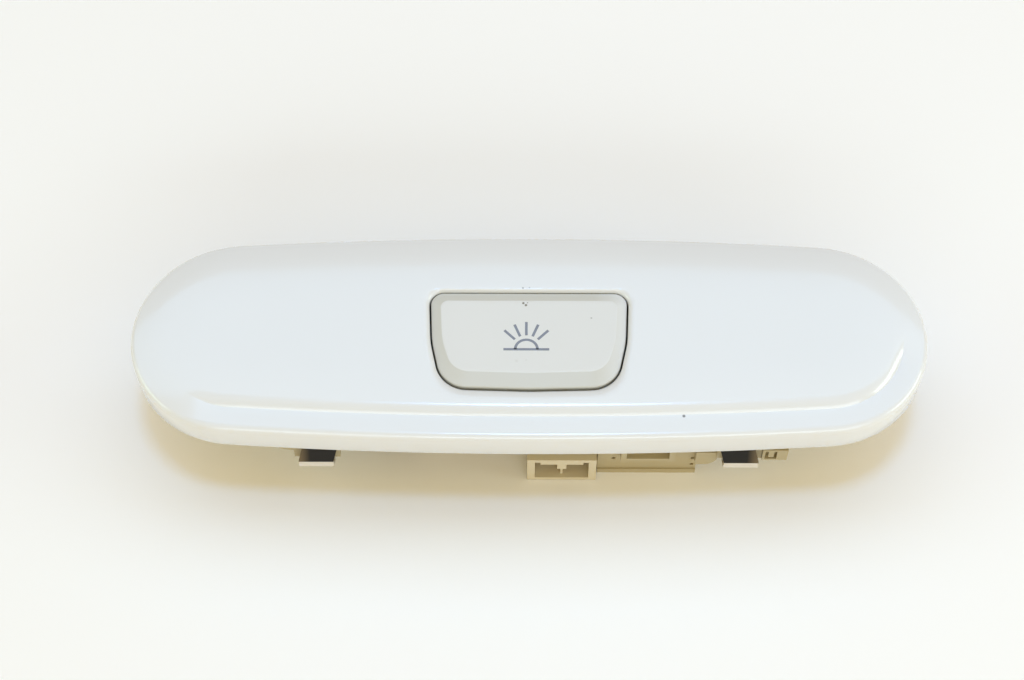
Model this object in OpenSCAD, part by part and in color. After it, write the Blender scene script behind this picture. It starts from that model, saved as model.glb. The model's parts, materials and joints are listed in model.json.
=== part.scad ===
// Car interior light: a milky one-piece cover with a push button, snapped on a
// shallow housing that holds the lamp board, its reflectors and the connector.
// The part lies face up. X runs along its length, the front long side is at -Y,
// and Z = 0 is the underside of the connector bay.

/* [Cover] */
// Overall length of the cover
cover_len = 170; // [160:1:184]
// Overall depth of the cover, front to back
cover_depth = 50.4; // [49:0.2:54]
// How far the long sides bow out past the round ends
side_bow = 2; // [1:0.2:3.4]
// Height of the cover's lower edge above the underside of the bay
seat_z = 20; // [19:0.25:22]
// Height of the skirt, up to the ledge round the raised middle
skirt_h = 7.15; // [6.5:0.05:8]
// Rounding of the skirt's lower edge
lip_r = 0.5; // [0.3:0.1:0.8]
// Rounding of the shoulder between skirt and ledge
shoulder_r = 1.5; // [1:0.1:2.5]
// Width of the ledge, from the cover's edge to the crease
ledge_w = 5.3; // [4.8:0.1:5.6]
// Radius of the rolled edge of the raised middle
roll_r = 4; // [3.2:0.1:5]
// Slope of the rolled edge at the crease
roll_slope = 50; // [40:1:60]
// Slope that is left where the rolled edge meets the crown
crown_slope = 6; // [4:0.5:8]
// Inset from the cover's edge at which the crown becomes level
level_inset = 16; // [14:0.5:18]
// Wall of the cover
cover_wall = 1.8; // [1.5:0.1:2.1]

/* [Button opening] */
// Width of the opening at its back edge
opening_back_w = 43; // [41.5:0.5:44]
// Width of the opening where its sides start to taper
opening_bend_w = 41.8; // [40.5:0.1:42]
// Width of the opening at its front edge
opening_front_w = 37; // [35:0.5:38]
// Distance of the opening's back edge behind the middle of the cover
opening_back = 9.95; // [9.2:0.05:10.4]
// Distance of the taper's start in front of the middle
opening_bend = 2.4; // [1:0.2:4]
// Distance of the opening's front edge in front of the middle
opening_front = 14.1; // [13.4:0.1:14.4]
// How far the front edge bows forward
front_bow = 0.5; // [0.3:0.05:0.8]
// Corner radius at the back of the opening
back_corner_r = 3.2; // [2.8:0.1:4]
// Corner radius at the front of the opening
front_corner_r = 7; // [5.5:0.25:8]
// Depth of the dished edge round the opening
dish_depth = 1.3; // [0.9:0.05:1.5]
// Width of the dished edge at the back
dish_back = 0.6; // [0.4:0.1:1.2]
// Width of the dished edge at the sides
dish_side = 1.5; // [1:0.1:2]
// Width of the dished edge at the front
dish_front = 2.7; // [2:0.1:3]

/* [Button] */
// Gap between the button and the opening
button_gap = 0.55; // [0.45:0.05:0.75]
// How far the button's top lies below the crown
button_drop = 0.28; // [0:0.05:0.5]
// Drop of the bevel from the button's top to its edge
bevel_drop = 0.8; // [0.5:0.05:1.1]
// Width of the bevel at the back of the button
bevel_back = 2.2; // [1.6:0.1:2.4]
// Width of the bevel at the sides of the button
bevel_side = 2.3; // [1.6:0.1:2.4]
// Width of the bevel at the front of the button
bevel_front = 3.6; // [3:0.1:4.4]
// Rounding of the button's edge below the bevel
button_edge_r = 0.5; // [0.3:0.05:0.7]
// Height of the button, from its lower rim to its top
button_h = 5.6; // [5:0.1:6]
// Wall of the button
button_wall = 1.4; // [1.2:0.1:1.6]
// Angle through which the button tilts when it is pressed
button_tilt = 2.4; // [1.6:0.1:2.8]
// Diameter of the button's hinge pins
hinge_pin_d = 2.4; // [2:0.1:2.8]
// Distance of the hinge axis behind the middle
hinge_y = 6.4; // [5.4:0.1:6.6]
// Depth of the hinge axis below the button's top
hinge_drop = 6; // [5.6:0.1:6.4]
// Radial play of the hinge pins
hinge_play = 0.06; // [0.03:0.01:0.1]

/* [Housing] */
// Distance of the housing's end walls inside the cover's ends
house_end_inset = 21; // [19:0.5:23]
// Distance of the housing's long walls inside the cover's edge
house_side_inset = 6.2; // [6.1:0.1:6.8]
// Corner radius of the housing
house_r = 14; // [10:0.5:16]
// Wall of the housing
house_wall = 1.8; // [1.5:0.1:2]
// Floor of the housing and of its connector bay
floor_t = 1.6; // [1.4:0.1:1.8]
// Height of the tray's underside above the bay's underside
tray_z = 10; // [9.8:0.1:10.6]
// Thickness of the flange that closes the cover
flange_t = 1.6; // [1.4:0.1:2]
// Height of the flange above the cover's lower edge
flange_rise = 0.8; // [0.6:0.1:1.1]
// Play between pieces that only lie side by side
fit_gap = 0.3; // [0.2:0.05:0.4]
// Left end of the connector bay
bay_left = -24; // [-28:0.5:-20]
// Right end of the connector bay
bay_right = 36.6; // [35:0.2:37]
// Distance of the bay's set-back front wall in front of the middle
bay_front = 12.5; // [12:0.1:13]
// Distance of the bay's back wall behind the middle
bay_back = 14; // [12:0.5:15]
// Step of the bay's foot past its wall
foot_step = 0.4; // [0.2:0.1:0.6]

/* [Board and light sources] */
// Height of the board above the tray's floor
board_rise = 1; // [0.8:0.1:1.3]
// Thickness of the board
board_t = 1.6; // [1.2:0.2:1.6]
// Width of a lamp diode
lamp_w = 5; // [4:0.2:5.6]
// Wall of the reflectors
reflector_wall = 1.2; // [1:0.1:1.4]
// Distance of the board screws from the middle, along the board
screw_x = 40; // [36:0.5:46]
// Distance of the board screws from the middle, across the board
screw_y = 13.4; // [13.2:0.1:13.6]
// Diameter of the board screws
screw_d = 2.2; // [2:0.1:2.6]
// Half the width of the light box under the button
box_half_w = 22.8; // [22.6:0.1:23]
// Wall of the light box
box_wall = 1.2; // [1:0.1:1.3]

/* [Switch] */
// Distance of the switch in front of the middle
switch_y = 10; // [9.6:0.1:10.2]
// Width of the switch
switch_w = 6.2; // [5.8:0.1:6.4]
// Height of the switch body
switch_h = 3.2; // [3:0.1:3.6]
// Diameter of the switch plunger
plunger_d = 3.4; // [3:0.1:3.6]
// How far the plunger stands out of the switch
plunger_out = 1.8; // [1.5:0.1:2.2]
// Gap between the plunger and the button's foot at rest
plunger_gap = 0.15; // [0.1:0.05:0.25]

/* [Connector] */
// Width of the connector
plug_w = 15; // [14:0.25:16]
// Height of the connector
plug_h = 9.1; // [8.8:0.1:9.4]
// Middle of the connector along the housing
plug_x = 7.25; // [6.5:0.25:8]
// Distance of the connector's mouth in front of the middle
plug_front = 20.9; // [20:0.1:21.5]
// Wall of the connector
plug_wall = 1; // [0.8:0.1:1.2]
// Depth of the connector's mouth
mouth_depth = 8; // [7:0.25:8.5]
// Width of a contact pin
pin_w = 0.64; // [0.5:0.02:0.8]

/* [Spring clips] */
// Width of a spring clip
clip_w = 7.4; // [6.6:0.2:8]
// Distance of the spring clips from the middle
clip_x = 45.4; // [44:0.2:46]
// Thickness of the clip strip
clip_t = 0.5; // [0.4:0.05:0.6]
// Reach of the clip's knee out of the housing wall
clip_reach = 4.1; // [3.6:0.1:4.6]
// Height of the clip's knee
knee_z = 12.5; // [12:0.1:13.2]
// Height of the clip's bright band below the knee
knee_band = 1.9; // [1.6:0.1:2.2]
// Sideways lean of the clip above its knee
clip_skew = 2.5; // [0:0.1:3]
// Inner radius of the clip's lower bend
clip_bend_r = 0.75; // [0.5:0.05:0.9]

/* [Hidden] */
$fn = 48;
cut = 0.5;             // how far a cut runs past the face it opens
hair = 0.1;            // play of faces that seat on each other

// The cover's outline is two round ends joined by two wide arcs, all tangent.
half_len = cover_len / 2;
half_depth = cover_depth / 2;
end_r = half_depth - side_bow;
end_x = half_len - end_r;
side_r = (end_x * end_x + half_depth * half_depth - end_r * end_r) / (2 * side_bow);
side_y = side_r - half_depth;
side_turn = atan(end_x / side_y);
end_turn = 90 - side_turn;
end_steps = 24;
side_steps = 10;

// Heights above the underside of the bay
crown_foot = [ledge_w + roll_r * sin(roll_slope), skirt_h - roll_r * cos(roll_slope)];
crown_start = crown_foot + roll_r * [-sin(crown_slope), cos(crown_slope)];
crown_r = (level_inset - crown_start[0]) / sin(crown_slope);
crown_c = crown_start + crown_r * [sin(crown_slope), -cos(crown_slope)];
crown_z = seat_z + crown_c[1] + crown_r;
ledge_under_z = seat_z + skirt_h - cover_wall;
flange_z = seat_z + flange_rise;
flange_top = flange_z + flange_t;
tray_top = tray_z + floor_t;
board_z = tray_top + board_rise;
board_top = board_z + board_t;
button_top = crown_z - button_drop;
button_edge_z = button_top - bevel_drop;
button_rim_z = button_top - button_h;
dish_z = crown_z - dish_depth;
hinge_z = button_top - hinge_drop;
switch_top = board_top + switch_h;
plunger_top = switch_top + plunger_out;
plunger_travel = (hinge_y + switch_y) * button_tilt * PI / 180;

// The housing's plan
house_half_len = half_len - house_end_inset;
house_half_depth = half_depth - house_side_inset;
board_half_len = house_half_len - house_wall - fit_gap;
board_half_depth = house_half_depth - house_wall - fit_gap;
board_r = house_r - house_wall - fit_gap;

// Points of an arc, from one angle to another
function arc(c, r, from, to, n) =
    [for (i = [0:n]) let (a = from + (to - from) * i / n) c + r * [cos(a), sin(a)]];

// The cover's outline, a given distance inside its edge, anticlockwise from the right end.
// Points of the wide arcs that come too near the tangent points are left out.
join_clear = 1;
function wide_end(inset) = end_x + (end_r - inset) * cos(end_turn) - join_clear;
function outline(inset) = concat(
    arc([end_x, 0], end_r - inset, -end_turn, end_turn, end_steps),
    [for (p = arc([0, -side_y], side_r - inset, 90 - side_turn, 90 + side_turn, side_steps))
        if (abs(p[0]) < wide_end(inset)) p],
    arc([-end_x, 0], end_r - inset, 180 - end_turn, 180 + end_turn, end_steps),
    [for (p = arc([0, side_y], side_r - inset, 270 - side_turn, 270 + side_turn, side_steps))
        if (abs(p[0]) < wide_end(inset)) p]);

// Unit vector, and the left-hand normal of a direction
function unit(v) = v / norm(v);
function left_of(v) = [-v[1], v[0]];

// A convex polygon's corner i rounded with radius r and drawn inwards by inset:
// the arc's middle stays, so every inset has the same number of points.
function corner(pts, i, r, inset, n) =
    let (p = pts[i], k = len(pts),
         a = unit(p - pts[(i + k - 1) % k]), b = unit(pts[(i + 1) % k] - p),
         turn = atan2(a[0] * b[1] - a[1] * b[0], a * b),
         c = p + (left_of(a) + left_of(b)) * r / (1 + a * b),
         start = atan2(-left_of(a)[1], -left_of(a)[0]))
    arc(c, r - inset, start, start + turn, n);
function rounded(pts, radii, inset = 0, n = 6) =
    [for (i = [0:len(pts) - 1]) each corner(pts, i, radii[i], inset, n)];
function box_outline(x0, x1, y0, y1, r, n = 6) =
    rounded([[x0, y0], [x1, y0], [x1, y1], [x0, y1]], [r, r, r, r], 0, n);

// A solid skinned over rings of points, given from its first cap to its last
function at(ring, z) = [for (p = ring) [p[0], p[1], z]];
module loft(rings) {
    n = len(rings[0]);
    sides = [for (k = [0:len(rings) - 2], i = [0:n - 1])
        let (a = k * n + i, b = k * n + (i + 1) % n, c = b + n, d = a + n)
        each [[a, d, c], [a, c, b]]];
    first = [for (i = [0:n - 1]) i];
    last = [for (i = [0:n - 1]) len(rings) * n - 1 - i];
    polyhedron([for (r = rings) each r], concat([first], sides, [last]), convexity = 8);
}

// A prism between two heights
module prism(pts, z0, z1) {
    translate([0, 0, z0]) linear_extrude(z1 - z0) polygon(pts);
}
module block(x0, x1, y0, y1, z0, z1) {
    translate([x0, y0, z0]) cube([x1 - x0, y1 - y0, z1 - z0]);
}
module post(x, y, z0, z1, d) {
    translate([x, y, z0]) cylinder(h = z1 - z0, d = d);
}

// Cover

// The section of the cover's shell as [inset, height], from the middle of its
// underside round the skirt's edge to the middle of its top
shell_section = concat(
    arc(crown_c, crown_r - cover_wall, 90, 90 + crown_slope, 2),
    arc(crown_foot, roll_r - cover_wall, 90 + crown_slope * 2, 90 + roll_slope, 3),
    [[ledge_w + cover_wall * tan(roll_slope / 2), skirt_h - cover_wall],
     [cover_wall, skirt_h - cover_wall], [cover_wall, 0]],
    arc([lip_r, lip_r], lip_r, 270, 180, 2),
    arc([shoulder_r, skirt_h - shoulder_r], shoulder_r, 180, 90, 5),
    arc(crown_foot, roll_r, 90 + roll_slope, 90 + crown_slope, 5),
    [for (p = arc(crown_c, crown_r, 90 + crown_slope, 90, 4)) if (p[0] > crown_start[0] + hair) p]);

// Height of the crown's surface over a point near the button
function crown_at(p) =
    let (inset = side_r - norm([p[0], abs(p[1]) + side_y]), fall = max(0, level_inset - inset))
    crown_z - crown_r + sqrt(crown_r * crown_r - fall * fall);

// Corners of the opening, moved outwards at the sides, the back and the front
function opening_corners(grow_side, grow_back, grow_front) =
    let (w = [opening_back_w, opening_bend_w, opening_front_w] / 2 + grow_side * [1, 1, 1],
         back = opening_back + grow_back, front = opening_front + grow_front)
    [[w[0], back], [-w[0], back], [-w[1], -opening_bend], [-w[2], front_bow - front],
     [0, -front], [w[2], front_bow - front], [w[1], -opening_bend]];
bend_r = 24;
bow_r = 60;
opening_radii = [back_corner_r, back_corner_r, bend_r, front_corner_r, bow_r, front_corner_r, bend_r];

// The opening's outline, drawn inwards by inset
function opening_ring(inset, side = 0, back = 0, front = 0) =
    rounded(opening_corners(side, back, front), opening_radii, inset, 5);

// The cutter for the opening: straight below, with a dished edge that opens upwards
dish_steps = 5;
dish_lift = 0.03;
module opening_cut() {
    inner = opening_ring(0);
    outer = opening_ring(0, dish_side, dish_back, dish_front);
    function dish(a) = [for (i = [0:len(inner) - 1])
        let (q = inner[i] + (1 - cos(a)) * (outer[i] - inner[i]))
        [q[0], q[1], dish_z + sin(a) * (crown_at(outer[i]) + dish_lift - dish_z)]];
    loft(concat(
        [at(inner, dish_z - cover_wall)],
        [for (i = [0:dish_steps]) dish(90 * i / dish_steps)],
        [at(outer, crown_z + cut)]));
}

// Places its children against the cover's long sides, at each x given and both sides
module on_long_sides(places) {
    for (x = places, flip = [0, 1])
        mirror([0, flip, 0]) translate([x, side_r - sqrt(side_r * side_r - x * x), 0]) children();
}

arm_places = [-35.2, 35.2];
arm_w = 6;
arm_t = 1.2;
arm_inset = 3;
hook_out = 0.9;
hook_h = 1.1;
hook_edge = 0.2;
stop_places = [-56, -18, 18, 56];
stop_t = 1.2;

// Snap arms hang from the ledge through the flange's notches and hook under it,
// and ribs beside them rest on the flange.
module snap_arm() {
    y = arm_inset - half_depth;
    hook_top = flange_z - hair;
    translate([-arm_w / 2, 0, 0]) rotate([90, 0, 90]) linear_extrude(arm_w)
        polygon([[y, ledge_under_z + cut], [y, hook_top - hook_h],
                 [y + arm_t, hook_top - hook_h], [y + arm_t + hook_out, hook_top - hook_edge],
                 [y + arm_t + hook_out, hook_top], [y + arm_t, hook_top],
                 [y + arm_t, ledge_under_z + cut]]);
}
module stop_rib() {
    block(-stop_t / 2, stop_t / 2, cover_wall / 2 - half_depth, ledge_w - half_depth,
          flange_top + hair, ledge_under_z + cut);
}

module lens_cover() {
    color([0.9, 0.92, 0.93]) {
        difference() {
            loft([for (p = shell_section) at(outline(p[0]), seat_z + p[1])]);
            opening_cut();
        }
        on_long_sides(arm_places) snap_arm();
        on_long_sides(stop_places) stop_rib();
    }
}

// Button

actuator_w = 3;
guide_half_w = 5.2;
guide_back = 2.4;
guide_front = 4.8;
guide_h = 5.4;
guide_taper = 1;
guide_corner_r = 0.5;
socket_t = 1;
socket_h = 3;
pin_ear_t = 1.6;
pin_ear_l = 5;
button_under = button_top - button_wall;

// The button's outline, a given distance inside its own edge
function key_ring(inset) = opening_ring(button_gap + inset);
function key_top_ring() =
    opening_ring(button_gap, -bevel_side, -bevel_back, -bevel_front);

// Half the button's width at the hinge
function side_x(y, inset) =
    let (y0 = -opening_bend, f = (y - y0) / (opening_back - y0))
    (opening_bend_w + f * (opening_back_w - opening_bend_w)) / 2 - inset;
hinge_x = side_x(hinge_y, button_gap);

module push_button() {
    color([0.89, 0.9, 0.89]) {
        difference() {
            loft(concat(
                [at(key_ring(0), button_rim_z)],
                [for (p = arc([button_edge_r, button_edge_z - button_edge_r], button_edge_r, 180, 110, 3))
                    at(key_ring(p[0]), p[1])],
                [at(key_top_ring(), button_top)]));
            prism(key_ring(button_wall), button_rim_z - cut, button_edge_z - button_wall);
            prism(opening_ring(button_gap + button_wall, button_wall / 2 - bevel_side,
                      button_wall / 2 - bevel_back, button_wall / 2 - bevel_front),
                  button_rim_z, button_under);
        }
        actuator();
        guide_socket();
        for (flip = [0, 1]) mirror([flip, 0, 0]) hinge_ear();
    }
}

// The foot that presses the switch, a cross of two ribs
module actuator() {
    for (w = [[actuator_w, 1], [1, actuator_w]])
        block(-w[0] / 2, w[0] / 2, -switch_y - w[1] / 2, w[1] / 2 - switch_y,
              plunger_top + plunger_gap, button_under + cut);
}

// A frame under the button's top that holds the light guide
module guide_socket() {
    x = guide_half_w + hair + socket_t;
    difference() {
        block(-x, x, -guide_front - hair - socket_t, guide_back + hair + socket_t,
              button_under - socket_h, button_under + cut);
        block(socket_t - x, x - socket_t, -guide_front - hair, guide_back + hair,
              button_under - socket_h - cut, button_under + 2 * cut);
    }
}

// An ear inside the button's side wall with the hinge pin on it
module hinge_ear() {
    block(hinge_x - pin_ear_t, hinge_x - cut / 2, hinge_y - pin_ear_l / 2, hinge_y + pin_ear_l / 2,
          hinge_z, button_edge_z - button_wall + cut / 2);
    translate([hinge_x - pin_ear_t, hinge_y, hinge_z]) rotate([0, 90, 0]) {
        cylinder(h = pin_ear_t - cut / 2, d = pin_ear_l);
        cylinder(h = box_half_w - hair - hinge_x + pin_ear_t, d = hinge_pin_d);
    }
}

module button_light_guide() {
    z = button_under - hair;
    function ring(inset, z) =
        at(box_outline(inset - guide_half_w, guide_half_w - inset, inset - guide_front, guide_back - inset,
                       guide_corner_r, 3), z);
    color([0.92, 0.96, 0.98, 0.5])
        loft([ring(guide_taper, z - guide_h), ring(0, z - socket_h), ring(0, z)]);
}

// Light box under the button

box_top = ledge_under_z - fit_gap;
box_floor_t = 1;
well_gap = 1.2;
well_top = button_under - guide_h - well_gap;
pad_t = 0.4;
pad_w = 2;

module light_box() {
    y = board_half_depth - hair;
    w = box_half_w - box_wall;
    color([0.2, 0.2, 0.21]) difference() {
        union() {
            block(-box_half_w, box_half_w, -y, y, board_top + hair, box_top);
            for (s = [-1, 1]) translate([s * box_half_w, hinge_y, hinge_z]) rotate([0, 90 * s, 0])
                cylinder(h = pad_t, d = hinge_pin_d + pad_w);
        }
        difference() {
            block(-w, w, box_wall - y, y - box_wall, board_top + hair + box_floor_t, box_top + cut);
            block(-guide_half_w - box_wall, guide_half_w + box_wall, -guide_front - box_wall,
                  guide_back + box_wall, board_top, well_top);
        }
        block(-guide_half_w, guide_half_w, -guide_front, guide_back, board_top, box_top);
        block(-switch_w / 2 - fit_gap, switch_w / 2 + fit_gap, -switch_y - switch_w / 2 - fit_gap,
              switch_w / 2 + fit_gap - switch_y, board_top, box_top);
        translate([-box_half_w - pad_t - cut, hinge_y, hinge_z]) rotate([0, 90, 0])
            cylinder(h = 2 * (box_half_w + pad_t + cut), d = hinge_pin_d + 2 * hinge_play);
    }
}

// Housing

boss_d = 6;
boss_drop = 3.2;
boss_z = tray_z - boss_drop;
loop_x = 25.7;
loop_w = 11.6;
loop_bar = 1.2;
loop_out = 1.8;
loop_z = 8.4;
loop_bar_h = 1.6;
loop_slope = 1;
loop_edge = 0.6;
rail_t = 1.1;
rail_out = 1.5;
rail_lip = 0.7;
rail_h = 6.6;
rail_top = tray_z + rail_h;
rib_places = [-54, -30, 30, 54];
rib_t = 1.2;
boss_floor = 1;
bay_step_x = plug_x + plug_w / 2 + fit_gap;

function tray_outline(inset) =
    box_outline(inset - house_half_len, house_half_len - inset, inset - house_half_depth,
                house_half_depth - inset, house_r - inset, 8);
// The bay's plan: set back on the left and under the connector, flush with the tray on the right
module bay_plan(inset) {
    translate([bay_left + inset, inset - bay_front])
        square([bay_right - bay_left - 2 * inset, bay_front + bay_back - 2 * inset]);
    translate([bay_step_x + inset, inset + foot_step - house_half_depth])
        square([bay_right - bay_step_x - 2 * inset, house_half_depth - foot_step + bay_back - 2 * inset]);
}
module bay_foot() {
    translate([bay_step_x, -house_half_depth]) square([bay_right - bay_step_x, house_half_depth]);
}

module screw_places() {
    for (x = [-screw_x, screw_x], y = [-screw_y, screw_y]) translate([x, y, 0]) children();
}

// L-shaped rails on the long walls hold the clips' base legs.
module clip_rail() {
    x = clip_w / 2 + hair;
    linear_extrude(rail_h)
        polygon([[x, -cut], [x + rail_t, -cut], [x + rail_t, rail_out], [x - rail_lip, rail_out],
                 [x - rail_lip, 2 * hair + clip_t], [x, 2 * hair + clip_t]]);
}

// The place of one clip on the housing's long walls, and all four places
module clip_place(turn, flip) {
    rotate([0, 0, turn]) mirror([flip, 0, 0]) translate([clip_x, -house_half_depth, 0])
        mirror([0, 1, 0]) children();
}
module at_clips() {
    for (turn = [0, 180], flip = [0, 1]) clip_place(turn, flip) children();
}

// A loop moulded on the front wall beside the connector
module catch_loop() {
    y = -house_half_depth;
    for (s = [-1, 1]) translate([loop_x + s * (loop_w - loop_bar) / 2, 0, 0])
        block(-loop_bar / 2, loop_bar / 2, y - loop_out, y + cut, loop_z, flange_z);
    translate([loop_x - loop_w / 2, 0, 0]) rotate([90, 0, 90]) linear_extrude(loop_w)
        polygon([[y + cut, loop_z - loop_slope], [y + cut, loop_z + loop_bar_h],
                 [y - loop_out, loop_z + loop_bar_h], [y - loop_out, loop_z + loop_edge]]);
}

// A rounded block beside the bay's right end, and a wider web set back behind it.
// Both hang from the tray and have a round lower corner.
cheek_w = 4.1;
cheek_z = 6;
cheek_corner_r = 3;
cheek_out = 1;
cheek_top = tray_z + 1.4;
web_w = 4.8;
web_z = 3.6;
web_corner_r = 4;
web_back = 2;
web_t = 1.6;
module hanging_corner(w, z, r, front, back) {
    translate([bay_right, back, 0]) rotate([90, 0, 0]) linear_extrude(back - front)
        polygon(concat([[-cut, z]], arc([w - r, z + r], r, 270, 360, 8),
                       [[w, cheek_top], [-cut, cheek_top]]));
}
module bay_cheek() {
    y = -house_half_depth;
    hanging_corner(cheek_w, cheek_z, cheek_corner_r, y - cheek_out, y + web_back + cut);
    hanging_corner(web_w, web_z, web_corner_r, y + web_back, y + web_back + web_t);
}

// A block with a pocket and a peg in it, beside the right clip's rail
pocket_w = 2.5;
pocket_h = 4.4;
pocket_wall = 0.6;
pocket_block_w = 2.3;
pocket_out = 2;
pocket_depth = 1.2;
peg_w = 1.2;
peg_h = 2.4;
module end_pocket() {
    x = clip_x + clip_w / 2 + hair + rail_t - cut / 2;
    y = -house_half_depth - pocket_out;
    difference() {
        block(x, x + pocket_wall + pocket_w + pocket_block_w, y, y + pocket_out + house_wall,
              tray_z, tray_z + pocket_h);
        block(x + pocket_wall, x + pocket_wall + pocket_w, y - cut, y + pocket_depth,
              tray_z + pocket_wall, tray_z + pocket_h - pocket_wall);
    }
    block(x + pocket_w - peg_w, x + pocket_w, y + hair, y + pocket_depth + cut,
          tray_z + 2 * pocket_wall, tray_z + 2 * pocket_wall + peg_h);
}

// Small blind holes in the bay's front wall, as [distance inside the bay's right end, height]
dimple_d = 0.9;
dimple_depth = 1;
dimples = [[18.1, 6.1], [0.9, 6.2], [0.9, 3.4]];
module dimple_cut() {
    for (p = dimples) translate([bay_right - p[0], foot_step - house_half_depth - cut, p[1]])
        rotate([-90, 0, 0]) cylinder(h = cut + dimple_depth, d = dimple_d);
}

module rear_housing() {
    color([0.87, 0.82, 0.71]) difference() {
        union() {
            difference() {
                union() {
                    prism(tray_outline(0), tray_z, flange_top);
                    prism(outline(cover_wall + fit_gap), flange_z, flange_top);
                }
                prism(tray_outline(house_wall), tray_top, flange_top + cut);
                on_long_sides(arm_places)
                    block(-arm_w / 2 - fit_gap, arm_w / 2 + fit_gap, -half_depth,
                          arm_inset + arm_t + hair - half_depth, flange_z - cut, flange_top + cut);
            }
            linear_extrude(tray_z + cut) bay_plan(0);
            linear_extrude(floor_t) bay_foot();
            screw_places() post(0, 0, boss_z, board_z, boss_d);
            for (x = rib_places)
                block(x - rib_t / 2, x + rib_t / 2, house_wall - house_half_depth - cut,
                      house_half_depth - house_wall + cut, tray_top - cut, board_z);
            at_clips() for (flip = [0, 1]) mirror([flip, 0, 0]) translate([0, 0, tray_z]) clip_rail();
            catch_loop();
            bay_cheek();
            end_pocket();
        }
        translate([0, 0, floor_t]) linear_extrude(tray_z + floor_t) bay_plan(house_wall);
        plug_window();
        dimple_cut();
        screw_places() post(0, 0, boss_z + boss_floor, board_z + cut, screw_d + 2 * pin_fit);
    }
}

// The space that the connector takes out of the bay and the tray's floor
module plug_window() {
    x0 = plug_x - plug_w / 2 - hair;
    x1 = plug_x + plug_w / 2 + hair;
    block(x0, x1, -plug_front, hair - plug_back, -cut, plug_z + plug_h + hair);
    block(x0, x1, -plug_riser - hair, hair - plug_back, 0, board_z + cut);
}

// Board

pin_places = [-4.4, -2.1, 2.1, 4.4];
pin_row_y = -9.5;
pin_z = 4.9;
pin_reach = 3.4;

module circuit_board() {
    color([0.13, 0.36, 0.22]) difference() {
        prism(box_outline(-board_half_len, board_half_len, -board_half_depth, board_half_depth, board_r, 8),
              board_z, board_top);
        screw_places() post(0, 0, board_z - cut, board_top + cut, screw_d + fit_gap);
    }
}

// A shallow white reflector with a hole for its lamp diode
screw_head_d = screw_d * 1.9;
screw_head_h = 1.5;
reflector_x0 = box_half_w + pad_t + fit_gap;
reflector_x1 = board_half_len;
lamp_x = (reflector_x0 + reflector_x1) / 2;
reflector_rim = 1.2;
reflector_rim_h = 1;
reflector_foot = board_half_depth - screw_y + screw_head_d / 2 + 1;
module reflector() {
    top = ledge_under_z - fit_gap;
    foot = board_top + hair;
    w = reflector_wall;
    function ring(inset, z) =
        at(box_outline(reflector_x0 + inset, reflector_x1 - inset, inset - board_half_depth,
                       board_half_depth - inset, board_r - inset), z);
    difference() {
        loft([ring(reflector_foot, foot),
              ring(reflector_rim, top - reflector_rim_h),
              ring(0, top - reflector_rim_h),
              ring(0, top),
              ring(reflector_rim + w, top),
              ring(reflector_foot + w, foot + w)]);
        post(lamp_x, 0, board_top, board_top + 2 * w, lamp_w * sqrt(2) + 2 * fit_gap);
    }
}
module reflector_left() {
    color([0.96, 0.96, 0.95]) mirror([1, 0, 0]) reflector();
}
module reflector_right() {
    color([0.96, 0.96, 0.95]) reflector();
}

// A surface-mounted diode with a clear dome
symbol_diode_w = 3;
diode_h_share = 0.3;
dome_share = 0.8;
module diode(x, y, w) {
    h = w * diode_h_share;
    intersection() {
        union() {
            block(x - w / 2, x + w / 2, y - w / 2, y + w / 2, board_top, board_top + h);
            translate([x, y, board_top + h / 2]) sphere(d = w * dome_share);
        }
        block(x - w, x + w, y - w, y + w, board_top, board_top + w);
    }
}
module lamp_diode_left() {
    color([0.95, 0.9, 0.6]) diode(-lamp_x, 0, lamp_w);
}
module lamp_diode_right() {
    color([0.95, 0.9, 0.6]) diode(lamp_x, 0, lamp_w);
}
module symbol_diode() {
    color([0.95, 0.9, 0.6]) diode(0, (guide_back - guide_front) / 2, symbol_diode_w);
}

// Switch

plate_t = 0.3;
plunger_foot_d = plunger_d + 1.2;
plunger_foot_h = 0.8;
well_d = plunger_foot_d + fit_gap;

module switch_body() {
    color([0.12, 0.12, 0.13]) difference() {
        block(-switch_w / 2, switch_w / 2, -switch_y - switch_w / 2, switch_w / 2 - switch_y,
              board_top, switch_top - plate_t);
        post(0, -switch_y, switch_top - plate_t - plunger_foot_h - plunger_travel - 2 * hair,
             switch_top, well_d);
    }
}
module switch_plate() {
    color([0.75, 0.76, 0.78]) difference() {
        block(-switch_w / 2, switch_w / 2, -switch_y - switch_w / 2, switch_w / 2 - switch_y,
              switch_top - plate_t, switch_top);
        post(0, -switch_y, switch_top - plate_t - cut, switch_top + cut, plunger_d + 2 * hair);
    }
}
module switch_plunger() {
    foot_top = switch_top - plate_t - hair / 2;
    color([0.9, 0.9, 0.9]) {
        post(0, -switch_y, foot_top - plunger_foot_h, foot_top, plunger_foot_d);
        post(0, -switch_y, foot_top - cut, plunger_top, plunger_d);
    }
}

// Connector

plug_z = 0.2;
plug_back = 6;
plug_riser = 12.4;
key_w = 2;
key_h = 2;
key_rib = 0.5;
key_rib_back = 1;
mouth_half_w = 5.85;
corner_window = 1.2;
corner_window_h = 0.9;
pin_fit = 0.03;

module at_plug() {
    translate([plug_x, -plug_front, plug_z]) children();
}

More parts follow.
